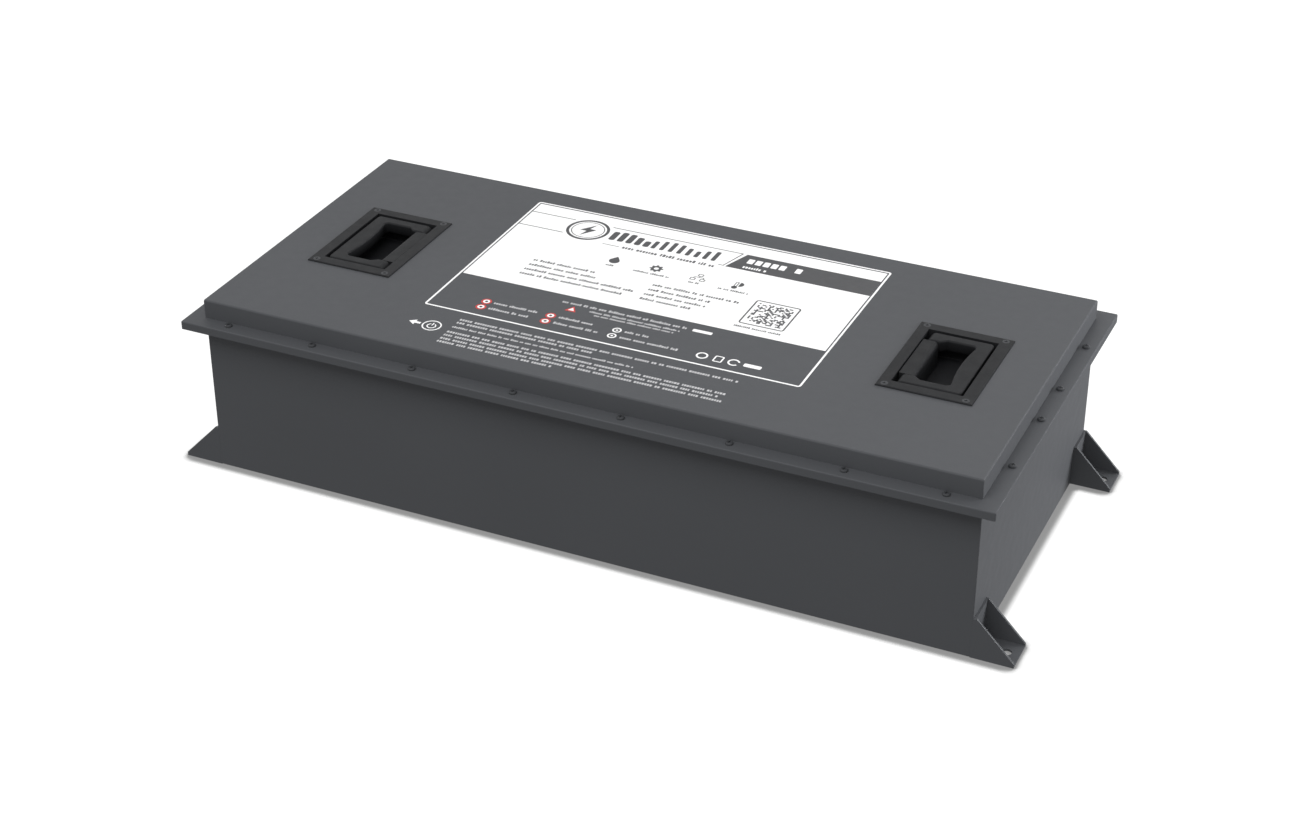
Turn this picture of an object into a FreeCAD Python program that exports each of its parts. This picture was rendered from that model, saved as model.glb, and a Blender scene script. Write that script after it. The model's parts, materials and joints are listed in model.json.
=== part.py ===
import FreeCAD, Part
import math
import os

# A sheet-steel battery pack with a screwed lid, two folding handles in the lid,
# four gusseted feet and two rows of prismatic cells inside.
# +X runs along the case, +Y to the back, +Z up. The origin is the middle of the
# footprint, on the plane that the feet stand on. Sizes are in millimetres.

# Case
case_length = 750.0
case_width = 338.0
sheet = 2.0
corner_radius = 1.2
flange_edge = 1.0
inner_corner = 0.5
rim_top = 156.0
rim_length = 776.0
rim_width = 367.0
gasket = 2.0
gasket_inset = 0.5

# Cover
flange_length = 782.6
flange_width = 372.6
flange_top = rim_top + gasket + sheet
lip_height = 8.0
pan_length = 750.0
pan_width = 341.4
cover_top = 178.6
bend_radius = 1.6

# Gaps round what is fitted, and how far a cutter runs past the face that it opens
thread_gap = 0.05
loose_gap = 0.1
panel_gap = 0.2
window_gap = 0.4
over = 1.0

# When an edge counts as lying flat or at a place, and the shortest edge that is rounded
close = 0.01
shortest_edge = 0.5

# Cover screws, M4 in clinch nuts
screw_row_y = 176.2
screw_row_x = (52.1, 153.4, 256.6, 345.7)
screw_end_x = 381.8
screw_end_y = (28.7, 111.8)
screw_radius = 2.0
clearance_hole = 2.25
cover_screw_length = 8.0
head_radius = 3.5
head_height = 2.2
head_dome = 1.3
cross_reach = 2.0
cross_width = 0.8
cross_depth = 1.2
clinch_shank_radius = 2.8
clinch_radius = 3.7
clinch_height = 2.6

# Feet
foot_reach = 38.0
foot_width = 35.0
foot_height = 40.0
foot_plate = 2.2
foot_hole_radius = 4.5
foot_hole_reach = 26.5
foot_weld = 0.8
gusset_toe = 1.5
gusset_head = 0.8

# Handles, given for the one on the +X side
plate_x0 = 241.2
plate_x1 = 329.2
plate_half_width = 62.25
plate_top = 180.0
recess_x0 = 252.0
recess_x1 = 317.6
recess_half_width = 51.0
recess_floor = 154.6
dish_wall = 2.0
handle_screw_x = (248.3, 322.1)
handle_screw_y = 57.3
handle_screw_length = 12.0
handle_screw_head = 3.4
handle_cross_reach = 1.7
handle_cross_depth = 1.0
nut_flats = 7.0
nut_height = 3.2
plate_edge = 1.0
tray_edge = 1.5
recess_edge = 1.0
hinge_x = 261.0
hinge_z = 174.1
hinge_block_half_width = 33.0
hinge_block_top = 179.0
hinge_block_x1 = 267.4
hinge_block_slot = 1.2
hinge_block_slot_depth = 8.0
hinge_block_round = 4.5
eye_radius = 5.5
eye_half_width = 33.5
eye_flat = 0.05
bail_x1 = 315.0
bail_half_width = 48.5
bail_arm = 10.5
bail_eye_flat = 2.0
bail_taper = 6.0
bail_corner = 4.0
bail_edge = 1.6
grip_end_width = 13.0
grip_mid_width = 17.0
pin_radius = 2.0
pin_clearance = 0.05
pin_half_length = 52.6

# Cells, two rows of twelve
cells_per_row = 12
cell_thick = 50.1
cell_width = 160.0
can_height = 115.5
can_corner = 3.0
vent_half = (6.0, 12.0)
vent_depth = 0.5
vent_flat = 0.1
pad_height = 3.0
pad_radius = 9.0
pad_offset = 60.0
stud_bore_radius = 3.0
stud_bore_depth = 8.0
lug_hole_radius = 3.3
spacer = 1.0
spacer_half_width = 78.0
spacer_height = 112.0
row_gap = 3.0
mat = 2.0
cell_base = sheet + mat
end_plate = 5.0
end_plate_height = 106.0
end_slot_y = (-100.0, 0.0, 100.0)
end_slot_half = 25.0
end_slot_z = (40.0, 80.0)
end_slot_corner = 8.0
block_x1 = 370.0
strap_thick = 1.2
strap_height = 20.0
strap_z = (25.0, 80.0)
busbar_thick = 2.0
busbar_width = 20.0
busbar_corner = 4.0

# Flanged M6 bolts, for the cells and the board's housing
bolt_flange_radius = 6.5
bolt_flange = 1.2
bolt_flats = 10.0
bolt_height = 5.5

# Left end: terminals, power button and data socket, all at one height
port_z = 100.0
terminal_y = (45.0, 115.0)
button_y = -127.0
socket_y = -85.0
terminal_bore_radius = 4.0
terminal_depth = 14.0
terminal_body_radius = 8.0
terminal_body_end = -352.0
terminal_flange_radius = 13.0
terminal_flange = 6.0
terminal_edge = 0.8
terminal_nut_flats = 27.0
terminal_nut_height = 7.0
insulator_half = 21.0
insulator_thick = 8.0
insulator_corner = 4.0
insulator_edge = 1.2
sleeve_radius = 12.0
sleeve_past_wall = 2.0
washer_radius = 18.0
washer = 3.0
lug = 2.0
button_radius = 5.2
button_clearance = 0.1
button_barrel_radius = 8.0
button_barrel_depth = 30.0
button_ring_radius = 11.0
button_ring = 2.5
button_ring_edge = 1.2
button_stop = 4.0
button_travel_end = 14.0
button_proud = 4.5
button_edge = 0.6
collar_radius = 5.9
collar_bore_radius = 6.2
collar_bore_past = 0.5
collar_x = 6.0
collar = 2.2
button_nut_flats = 21.0
button_nut_height = 4.0
socket_flange_radius = 11.0
socket_flange = 3.0
socket_flange_edge = 1.0
socket_barrel_radius = 8.0
socket_barrel_depth = 16.0
socket_barrel_proud = 8.0
socket_barrel_edge = 0.5
socket_mouth_radius = 6.4
socket_mouth_depth = 9.0

# Left bay, behind the end wall: management board in its housing, and the main fuse
bms_x0 = -362.0
bms_x1 = -264.0
bms_y0 = -150.0
bms_y1 = 40.0
bms_top = 36.0
bms_wall = 3.0
bms_roof = 20.0
fin_pitch = 8.0
fin_groove = 5.0
fin_depth = 10.0
fin_grooves = 11
fin_y1 = -45.0
bms_in = (-314.0, -21.5)
bms_out = (-325.0, 12.0)
board_margin = 6.0
board_z = (8.0, 9.6)
chip_size = (10.0, 12.0)
chip_top = 14.0
chip_first = 20.0
chip_pitch = (45.0, 20.0)
chip_count = (2, 8)
fuse_x = -318.0
fuse_y = (92.0, 136.0)
fuse_base_half = 16.0
fuse_base_past = 14.0
fuse_base_top = 24.0
fuse_stud_radius = 4.0
fuse_stud_height = 15.0
fuse_link_half = 9.0
fuse_link = 2.0
fuse_barrel_half = 10.0
fuse_nut_flats = 13.0
fuse_nut_height = 6.0

# Power leads
cable_radius = 5.0
cable_above = 6.0
bay_drop_x = -276.0
fuse_lead_turn_z = 70.0
plus_lead_turn_z = 50.0
minus_lead_turn_z = 54.0
fuse_lead_bend = 12.0
board_lead_bend = 10.0
wall_lead_bend = 8.0
lead_in = 2.0
lug_reach = 24.0
short_lug_reach = 16.0
lug_eye_radius = 9.0
lug_half_width = 6.0
lug_barrel = 6.0
lug_barrel_height = 11.0
wall_lug_radius = 12.0
wall_lug_drop = (28.0, 34.0)
wall_lug_depth = 12.0

cell_pitch = cell_thick + spacer
row_y = (cell_width + row_gap) / 2
block_x0 = block_x1 - 2 * end_plate - cells_per_row * cell_pitch - spacer
pad_top = cell_base + can_height + pad_height
end_wall_x = -case_length / 2
inner_wall_x = end_wall_x + sheet


def vec(x, y, z):
    return FreeCAD.Vector(x, y, z)


def block(x0, x1, y0, y1, z0, z1):
    """A box between two corners."""
    return Part.makeBox(x1 - x0, y1 - y0, z1 - z0, vec(x0, y0, z0))


def slab(length, width, z0, z1, radius=0.0):
    """A box centred on the Z axis, with rounded vertical edges."""
    shape = block(-length / 2, length / 2, -width / 2, width / 2, z0, z1)
    return round_edges(shape, radius, "z") if radius else shape


def rod(radius, x, y, z, length, axis=(0, 0, 1)):
    return Part.makeCylinder(radius, length, vec(x, y, z), vec(*axis))


def edge_is_along(edge, axis):
    box = edge.BoundBox
    spans = {"x": box.XLength, "y": box.YLength, "z": box.ZLength}
    return spans[axis] > shortest_edge and all(spans[k] < close for k in spans if k != axis)


def round_edges(shape, radius, axis, keep=None):
    """Fillets the straight edges along one axis, all or those that keep() picks."""
    edges = [e for e in shape.Edges if edge_is_along(e, axis)]
    if keep:
        edges = [e for e in edges if keep(e.CenterOfMass)]
    return shape.makeFillet(radius, edges)


def round_level(shape, radius, z):
    """Fillets every edge that lies wholly at one height."""
    edges = [e for e in shape.Edges
             if abs(e.BoundBox.ZMin - z) < close and abs(e.BoundBox.ZMax - z) < close]
    return shape.makeFillet(radius, edges)


def round_face(shape, radius, x):
    """Fillets the outline of the largest flat face that lies at one X."""
    face = max((f for f in shape.Faces if f.BoundBox.XLength < close
                and abs(f.CenterOfMass.x - x) < close), key=lambda f: f.OuterWire.Length)
    return shape.makeFillet(radius, face.OuterWire.Edges)


def hexagon(across_flats, x, y, z, length, axis=(0, 0, 1)):
    """A hexagonal prism that starts at a point and runs along an axis."""
    corner = across_flats / math.sqrt(3)
    points = [vec(corner * math.cos(math.radians(60 * k)),
                  corner * math.sin(math.radians(60 * k)), 0) for k in range(7)]
    prism = Part.Face(Part.makePolygon(points)).extrude(vec(0, 0, length))
    turn = FreeCAD.Rotation(vec(0, 0, 1), vec(*axis))
    prism.Placement = FreeCAD.Placement(vec(x, y, z), turn)
    return prism


def both_ends(shape):
    """The shape on the +X side and its twin, turned half a turn about Z."""
    twin = shape.copy()
    twin.rotate(vec(0, 0, 0), vec(0, 0, 1), 180)
    return {"right": shape, "left": twin}


def save(name, shapes):
    shapes = shapes if isinstance(shapes, list) else [shapes]
    whole = shapes[0] if len(shapes) == 1 else Part.makeCompound(shapes)
    whole.exportStep(os.path.join("parts", name + ".step"))


def screw_places():
    """The 24 places of the cover screws, round the flange."""
    along = [(sx * x, sy * screw_row_y) for sx in (-1, 1) for sy in (-1, 1) for x in screw_row_x]
    across = [(sx * screw_end_x, sy * y) for sx in (-1, 1) for sy in (-1, 1) for y in screw_end_y]
    return along + across


def drill(shape, places, radius, z0, z1):
    holes = [rod(radius, x, y, z0, z1 - z0) for x, y in places]
    return shape.cut(Part.makeCompound(holes))


def case_body():
    """The tub's outer form, solid and without its rim."""
    outer = slab(case_length, case_width, 0, rim_top, corner_radius)
    return round_level(outer, corner_radius, 0)


def case_tub():
    """Folded and welded open box with an outward rim and the cut-outs of its left end."""
    rim = slab(rim_length, rim_width, rim_top - sheet, rim_top, corner_radius)
    inner = slab(case_length - 2 * sheet, case_width - 2 * sheet, sheet, rim_top + over,
                 inner_corner)
    tub = case_body().fuse(rim).cut(inner)
    tub = drill(tub, screw_places(), clinch_shank_radius, rim_top - sheet - over, rim_top + over)
    ports = [(sleeve_radius, y) for y in terminal_y]
    ports += [(button_barrel_radius, button_y), (socket_barrel_radius, socket_y)]
    cuts = [rod(radius + panel_gap, end_wall_x - over, y, port_z, sheet + 2 * over, (1, 0, 0))
            for radius, y in ports]
    return tub.cut(Part.makeCompound(cuts)).removeSplitter()


def handle_screw_places(side):
    return [(side * x, sy * handle_screw_y) for x in handle_screw_x for sy in (-1, 1)]


def cover():
    """Drawn lid: a raised pan, a flat flange and a turned-down lip."""
    pan = slab(pan_length, pan_width, flange_top - sheet, cover_top, corner_radius)
    pan = round_level(pan, bend_radius, cover_top)
    flange = slab(flange_length, flange_width, flange_top - lip_height, flange_top, corner_radius)
    flange = round_level(flange, flange_edge, flange_top)
    lid = pan.fuse(flange)
    under_flange = slab(flange_length - 2 * sheet, flange_width - 2 * sheet,
                        flange_top - lip_height - over, flange_top - sheet, inner_corner)
    under_pan = slab(pan_length - 2 * sheet, pan_width - 2 * sheet,
                     flange_top - sheet - over, cover_top - sheet, inner_corner)
    lid = lid.cut(under_flange).cut(under_pan)
    lid = drill(lid, screw_places(), clearance_hole, flange_top - sheet - over, flange_top + over)
    window_x0 = recess_x0 - dish_wall - window_gap
    window_x1 = recess_x1 + dish_wall + window_gap
    window_y = recess_half_width + dish_wall + window_gap
    below, above = cover_top - sheet - over, cover_top + over
    for side in (-1, 1):
        xs = sorted((side * window_x0, side * window_x1))
        lid = lid.cut(block(xs[0], xs[1], -window_y, window_y, below, above))
        lid = drill(lid, handle_screw_places(side), clearance_hole, below, above)
    return lid.removeSplitter()


def cover_gasket():
    """Foam strip between the rim and the flange, punched for the screws."""
    ring = slab(rim_length - 2 * gasket_inset, rim_width - 2 * gasket_inset, rim_top,
                rim_top + gasket, corner_radius)
    ring = ring.cut(slab(case_length - 2 * sheet, case_width - 2 * sheet,
                         rim_top - over, rim_top + gasket + over, inner_corner))
    return drill(ring, screw_places(), clearance_hole, rim_top - over, rim_top + gasket + over)


def cross_recess(x, y, z, reach, depth):
    """The cutter of a cross recess that opens upward at a height."""
    half = cross_width / 2
    bar_x = block(x - reach, x + reach, y - half, y + half, z - depth, z + over)
    bar_y = block(x - half, x + half, y - reach, y + reach, z - depth, z + over)
    return bar_x.fuse(bar_y)


def pan_screw(x, y, seat, length):
    """An M4 screw with a low domed head and a cross recess, seated at a height."""
    head = round_level(rod(head_radius, x, y, seat, head_height), head_dome, seat + head_height)
    screw = head.fuse(rod(screw_radius, x, y, seat - length, length + head_height / 2))
    return screw.cut(cross_recess(x, y, seat + head_height, cross_reach, cross_depth))


def flush_screw(x, y, top):
    """A countersunk M4 screw with a cross recess, its face at a height."""
    depth = handle_screw_head - screw_radius
    head = Part.makeCone(screw_radius, handle_screw_head, depth, vec(x, y, top - depth))
    shank = rod(screw_radius, x, y, top - handle_screw_length, handle_screw_length - depth / 2)
    return head.fuse(shank).cut(cross_recess(x, y, top, handle_cross_reach, handle_cross_depth))


def countersink(x, y, top):
    """The cutter for a flush screw's head, a little larger than the head."""
    depth = handle_screw_head - screw_radius
    return Part.makeCone(screw_radius + loose_gap, handle_screw_head + loose_gap, depth,
                         vec(x, y, top - depth))


def clinch_nut(x, y):
    """A nut pressed into the rim from below, its shank flush with the rim's top."""
    nut = rod(clinch_shank_radius, x, y, rim_top - sheet, sheet)
    low = rim_top - sheet - clinch_height
    nut = nut.fuse(rod(clinch_radius, x, y, low, clinch_height))
    return nut.cut(rod(screw_radius + thread_gap, x, y, low - over, rim_top - low + 2 * over))


def foot():
    """A foot of the +X end, centred on Y: wall plate, floor plate and two gussets.

    It starts a little inside the wall, where its weld fills the case's rounded corner.
    """
    wall = case_length / 2
    start = wall - foot_weld
    half = foot_width / 2
    tip = wall + foot_reach
    back = block(start, wall + foot_plate, -half, half, 0, foot_height)
    base = block(start, tip, -half, half, 0, foot_plate)
    shape = back.fuse(base)
    outline = [vec(start, 0, 0), vec(tip, 0, 0), vec(tip, 0, foot_plate + gusset_toe),
               vec(wall + foot_plate + gusset_head, 0, foot_height), vec(start, 0, foot_height),
               vec(start, 0, 0)]
    for y0 in (-half, half - foot_plate):
        gusset = Part.Face(Part.makePolygon(outline)).extrude(vec(0, foot_plate, 0))
        gusset.translate(vec(0, y0, 0))
        shape = shape.fuse(gusset)
    hole = rod(foot_hole_radius, wall + foot_hole_reach, 0, -over, foot_plate + 2 * over)
    return shape.cut(hole).removeSplitter()


def handle_dish():
    """Moulded recess of a handle, with its face plate and the block that holds the pin."""
    plate = block(plate_x0, plate_x1, -plate_half_width, plate_half_width, cover_top, plate_top)
    plate = round_level(plate, plate_edge, plate_top)
    wall = dish_wall
    tray = block(recess_x0 - wall, recess_x1 + wall, -recess_half_width - wall,
                 recess_half_width + wall, recess_floor - wall, (cover_top + plate_top) / 2)
    tray = round_level(tray, tray_edge, recess_floor - wall)
    hollow = block(recess_x0, recess_x1, -recess_half_width, recess_half_width,
                   recess_floor, plate_top + over)
    hollow = round_level(hollow, recess_edge, recess_floor)
    dish = plate.fuse(tray).cut(hollow)
    post = block(recess_x0 - wall / 2, hinge_block_x1, -hinge_block_half_width,
                 hinge_block_half_width, recess_floor - wall / 2, hinge_block_top)
    post = round_edges(post, hinge_block_round, "y",
                       lambda c: c.z > recess_floor and c.x > hinge_x)
    slot = block(recess_x0, recess_x0 + hinge_block_slot, -recess_half_width, recess_half_width,
                 hinge_block_top - hinge_block_slot_depth, plate_top + over)
    dish = dish.fuse(post).cut(slot)
    dish = dish.cut(rod(pin_radius, hinge_x, -pin_half_length, hinge_z,
                        2 * pin_half_length, (0, 1, 0)))
    dish = drill(dish, handle_screw_places(1), screw_radius + loose_gap, cover_top - over,
                 plate_top + over)
    dish = dish.cut([countersink(x, y, plate_top) for x, y in handle_screw_places(1)])
    return dish.removeSplitter()


def bail_outline():
    """The bail seen from above: a U whose grip bulges towards its hinge."""
    inner_y = bail_half_width - bail_arm
    x0 = hinge_x - eye_radius
    grip_end = bail_x1 - grip_end_width
    grip_mid = bail_x1 - grip_mid_width
    eye_x = hinge_x + eye_radius + bail_eye_flat
    taper_x = eye_x + bail_taper
    lower = [vec(grip_end, -inner_y, 0), vec(taper_x, -inner_y, 0), vec(eye_x, -eye_half_width, 0),
             vec(x0, -eye_half_width, 0), vec(x0, -bail_half_width, 0),
             vec(bail_x1, -bail_half_width, 0), vec(bail_x1, bail_half_width, 0),
             vec(x0, bail_half_width, 0), vec(x0, eye_half_width, 0),
             vec(eye_x, eye_half_width, 0), vec(taper_x, inner_y, 0), vec(grip_end, inner_y, 0)]
    edges = [Part.makeLine(a, b) for a, b in zip(lower, lower[1:])]
    edges.append(Part.Arc(lower[-1], vec(grip_mid, 0, 0), lower[0]).toShape())
    return Part.Wire(edges)


def handle_bail():
    """Folding bail at rest in its recess, grip outboard and eyes on the pin."""
    z0 = hinge_z - eye_radius
    z1 = hinge_z + eye_radius
    bail = Part.Face(bail_outline()).extrude(vec(0, 0, z1 - z0))
    bail.translate(vec(0, 0, z0))
    bail = round_edges(bail, bail_corner, "z", lambda c: c.x > (hinge_x + bail_x1) / 2)
    bail = round_edges(bail, eye_radius - eye_flat, "y", lambda c: c.x < hinge_x)
    past_eye = hinge_x + eye_radius + bail_eye_flat / 2
    rims = [e for e in bail.Edges if e.BoundBox.ZLength < close
            and e.CenterOfMass.x > hinge_x + pin_radius and e.BoundBox.XMax > past_eye]
    bail = bail.makeFillet(bail_edge, rims)
    bore = rod(pin_radius + pin_clearance, hinge_x, -bail_half_width - over, hinge_z,
               2 * (bail_half_width + over), (0, 1, 0))
    return bail.cut(bore)


def handle_pin():
    return rod(pin_radius, hinge_x, -pin_half_length, hinge_z, 2 * pin_half_length, (0, 1, 0))


def handle_nut(x, y):
    """An M4 hexagon nut under the cover sheet."""
    top = cover_top - sheet
    nut = hexagon(nut_flats, x, y, top - nut_height, nut_height)
    return nut.cut(rod(screw_radius + thread_gap, x, y, top - nut_height - over,
                       nut_height + 2 * over))


def cell_centre_x(index):
    first = block_x0 + end_plate + spacer + cell_thick / 2
    return first + index * cell_pitch


def cell(x, y):
    """A prismatic cell: rounded can, shallow vent and two threaded terminal pads."""
    z1 = cell_base + can_height
    can = block(x - cell_thick / 2, x + cell_thick / 2, y - cell_width / 2, y + cell_width / 2,
                cell_base, z1)
    can = round_edges(can, can_corner, "z")
    half_x, half_y = vent_half
    vent = block(x - half_x, x + half_x, y - half_y, y + half_y, z1 - vent_depth, z1 + over)
    can = can.cut(round_edges(vent, half_x - vent_flat, "z"))
    for side in (-1, 1):
        pad_y = y + side * pad_offset
        can = can.fuse(rod(pad_radius, x, pad_y, z1 - over, pad_height + over))
        can = can.cut(rod(stud_bore_radius, x, pad_y, pad_top - stud_bore_depth,
                          stud_bore_depth + over))
    return can


def link_sides(row):
    """The side of the row, -1 or 1, on which each neighbouring pair of cells is linked."""
    return [row * (1 if k % 2 == 0 else -1) for k in range(cells_per_row - 1)]


def flat_bar(x0, x1, y0, y1, z0, holes):
    bar = block(x0, x1, y0, y1, z0, z0 + busbar_thick)
    bar = round_edges(bar, busbar_corner, "z")
    return drill(bar, holes, lug_hole_radius, z0 - over, z0 + busbar_thick + over)


def busbars():
    """Flat links in series along both rows, and one across at the right end."""
    bars = []
    half = busbar_width / 2
    for row in (-1, 1):
        for k, side in enumerate(link_sides(row)):
            y = row * row_y + side * pad_offset
            xs = (cell_centre_x(k), cell_centre_x(k + 1))
            bars.append(flat_bar(xs[0] - half, xs[1] + half, y - half, y + half, pad_top,
                                 [(xs[0], y), (xs[1], y)]))
    x = cell_centre_x(cells_per_row - 1)
    y = row_y - pad_offset
    bars.append(flat_bar(x - half, x + half, -y - half, y + half, pad_top, [(x, -y), (x, y)]))
    return bars


def flange_bolt(x, y, seat):
    """An M6 flanged bolt, seated at a height."""
    bolt = rod(bolt_flange_radius, x, y, seat, bolt_flange)
    bolt = bolt.fuse(hexagon(bolt_flats, x, y, seat + bolt_flange / 2, bolt_height - bolt_flange / 2))
    return bolt.fuse(rod(stud_bore_radius - thread_gap, x, y, seat - stud_bore_depth,
                         stud_bore_depth + bolt_flange))


def power_bolts():
    """One bolt in every cell pad and two in the board's housing."""
    bolts = [flange_bolt(cell_centre_x(k), row * row_y + side * pad_offset, pad_top + busbar_thick)
             for row in (-1, 1) for k in range(cells_per_row) for side in (-1, 1)]
    return bolts + [flange_bolt(x, y, bms_top + busbar_thick) for x, y in (bms_in, bms_out)]


def cell_spacers():
    """Insulating sheets beside every cell, and one between the two rows."""
    sheets = []
    for row in (-1, 1):
        for k in range(cells_per_row + 1):
            x = block_x0 + end_plate + k * cell_pitch
            sheets.append(block(x, x + spacer, row * row_y - spacer_half_width,
                                row * row_y + spacer_half_width, cell_base,
                                cell_base + spacer_height))
    sheets.append(block(block_x0 + end_plate, block_x1 - end_plate, -row_gap / 2, row_gap / 2,
                        cell_base, cell_base + spacer_height))
    return sheets


def end_plates():
    """Aluminium plates that clamp both rows."""
    half = row_y + cell_width / 2
    plates = []
    for x in (block_x0, block_x1 - end_plate):
        plate = block(x, x + end_plate, -half, half, cell_base, cell_base + end_plate_height)
        for y in end_slot_y:
            slot = block(x - over, x + end_plate + over, y - end_slot_half, y + end_slot_half,
                         *end_slot_z)
            plate = plate.cut(round_edges(slot, end_slot_corner, "x"))
        plates.append(plate)
    return plates


def tie_straps():
    """Steel straps along both sides of the block, two on each."""
    half = row_y + cell_width / 2
    straps = []
    for side in (-1, 1):
        ys = sorted((side * half, side * (half + strap_thick)))
        for z in strap_z:
            straps.append(block(block_x0, block_x1, ys[0], ys[1], z, z + strap_height))
    return straps


def base_mat():
    half = row_y + cell_width / 2
    return block(block_x0, block_x1, -half, half, sheet, cell_base)


def bms_case():
    """Aluminium housing of the management board, open below, finned behind its two terminals."""
    case = block(bms_x0, bms_x1, bms_y0, bms_y1, sheet, bms_top)
    case = case.cut(block(bms_x0 + bms_wall, bms_x1 - bms_wall, bms_y0 + bms_wall,
                          bms_y1 - bms_wall, sheet - over, bms_roof))
    first = bms_x0 + 2 * bms_wall
    grooves = [block(first + fin_pitch * k, first + fin_pitch * k + fin_groove, bms_y0 - over,
                     fin_y1, bms_top - fin_depth, bms_top + over) for k in range(fin_grooves)]
    case = case.cut(Part.makeCompound(grooves))
    return drill(case, [bms_in, bms_out], stud_bore_radius, bms_top - stud_bore_depth,
                 bms_top + over)


def bms_board():
    """Circuit board with two rows of power transistors."""
    board = block(bms_x0 + board_margin, bms_x1 - board_margin, bms_y0 + board_margin,
                  bms_y1 - board_margin, *board_z)
    rows, count = chip_count
    for row in range(rows):
        for k in range(count):
            x = bms_x0 + chip_first + chip_pitch[0] * row
            y = bms_y0 + chip_first + chip_pitch[1] * k
            board = board.fuse(block(x, x + chip_size[0], y, y + chip_size[1],
                                     sum(board_z) / 2, chip_top))
    return board


def main_fuse():
    """Fuse base with two studs, and the bolted link between them."""
    base = block(fuse_x - fuse_base_half, fuse_x + fuse_base_half, fuse_y[0] - fuse_base_past,
                 fuse_y[1] + fuse_base_past, sheet, fuse_base_top)
    for y in fuse_y:
        base = base.fuse(rod(fuse_stud_radius, fuse_x, y, fuse_base_top - over,
                             fuse_stud_height + over))
    half = fuse_link_half
    top = fuse_base_top + fuse_link
    link = block(fuse_x - half, fuse_x + half, fuse_y[0] - half, fuse_y[1] + half,
                 fuse_base_top, top)
    link = link.fuse(rod(half, fuse_x, sum(fuse_y) / 2 - fuse_barrel_half, fuse_base_top + half,
                         2 * fuse_barrel_half, (0, 1, 0)))
    holes = [(fuse_x, y) for y in fuse_y]
    return [base, drill(link, holes, fuse_stud_radius + loose_gap, fuse_base_top - over, top + over)]


def fuse_nuts():
    """Two M8 nuts that hold the lugs and the link on the fuse studs."""
    seat = fuse_base_top + fuse_link + lug
    return [hexagon(fuse_nut_flats, fuse_x, y, seat, fuse_nut_height).cut(
        rod(fuse_stud_radius + thread_gap, fuse_x, y, seat - over, fuse_nut_height + 2 * over))
        for y in fuse_y]


def terminal_post(y):
    """Copper post through the end wall: a flange with a threaded hole outside, a stud inside."""
    flange_x = end_wall_x - insulator_thick
    outward = (-1, 0, 0)
    post = rod(terminal_flange_radius, flange_x, y, port_z, terminal_flange, outward)
    post = post.fuse(rod(terminal_body_radius, terminal_body_end, y, port_z,
                         terminal_body_end - flange_x + over, outward))
    mouth = flange_x - terminal_flange
    post = round_face(post, terminal_edge, mouth)
    return post.cut(rod(terminal_bore_radius, mouth + terminal_depth, y, port_z,
                        terminal_depth + over, outward))


def terminal_insulators():
    """For each terminal, a square block with a sleeve outside and a washer inside."""
    pieces = []
    for y in terminal_y:
        outer = block(end_wall_x - insulator_thick, end_wall_x, y - insulator_half,
                      y + insulator_half, port_z - insulator_half, port_z + insulator_half)
        outer = round_edges(outer, insulator_corner, "x")
        outer = round_face(outer, insulator_edge, end_wall_x - insulator_thick)
        outer = outer.fuse(rod(sleeve_radius, end_wall_x - over, y, port_z,
                               over + sheet + sleeve_past_wall, (1, 0, 0)))
        bore = rod(terminal_body_radius + loose_gap, end_wall_x - insulator_thick - over, y, port_z,
                   insulator_thick + sheet + sleeve_past_wall + 2 * over, (1, 0, 0))
        ring = rod(washer_radius, inner_wall_x, y, port_z, washer, (1, 0, 0))
        ring = ring.cut(rod(sleeve_radius + loose_gap, inner_wall_x - over, y, port_z,
                            washer + 2 * over, (1, 0, 0)))
        pieces += [outer.cut(bore), ring]
    return pieces


def terminal_nuts():
    """Two nuts on each stud, with the cable lug between them."""
    nuts = []
    first = inner_wall_x + washer
    for y in terminal_y:
        for x in (first, first + terminal_nut_height + lug):
            nut = hexagon(terminal_nut_flats, x, y, port_z, terminal_nut_height, (1, 0, 0))
            nuts.append(nut.cut(rod(terminal_body_radius + thread_gap, x - over, y, port_z,
                                    terminal_nut_height + 2 * over, (1, 0, 0))))
    return nuts


def power_button_housing():
    """Metal ring and barrel of the push button, with a stepped bore for its cap."""
    out = (-1, 0, 0)
    ring = rod(button_ring_radius, end_wall_x, button_y, port_z, button_ring, out)
    ring = round_face(ring, button_ring_edge, end_wall_x - button_ring)
    housing = ring.fuse(rod(button_barrel_radius, end_wall_x + button_barrel_depth, button_y,
                            port_z, button_barrel_depth + over, out))
    guide = rod(button_radius + button_clearance, end_wall_x + button_stop, button_y, port_z,
                button_stop + button_ring + over, out)
    chamber = rod(collar_bore_radius, end_wall_x + button_travel_end, button_y, port_z,
                  button_travel_end - button_stop + collar_bore_past, out)
    return housing.cut(guide).cut(chamber)


def power_button_cap():
    """Round cap, held in the bore by its collar."""
    out = (-1, 0, 0)
    cap = rod(button_radius, end_wall_x + button_stop, button_y, port_z,
              button_stop + button_proud, out)
    cap = round_face(cap, button_edge, end_wall_x - button_proud)
    return cap.fuse(rod(collar_radius, end_wall_x + collar_x, button_y, port_z, collar, out))


def power_button_nut():
    inward = (1, 0, 0)
    nut = hexagon(button_nut_flats, inner_wall_x, button_y, port_z, button_nut_height, inward)
    return nut.cut(rod(button_barrel_radius + thread_gap, inner_wall_x - over, button_y, port_z,
                       button_nut_height + 2 * over, inward))


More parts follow.
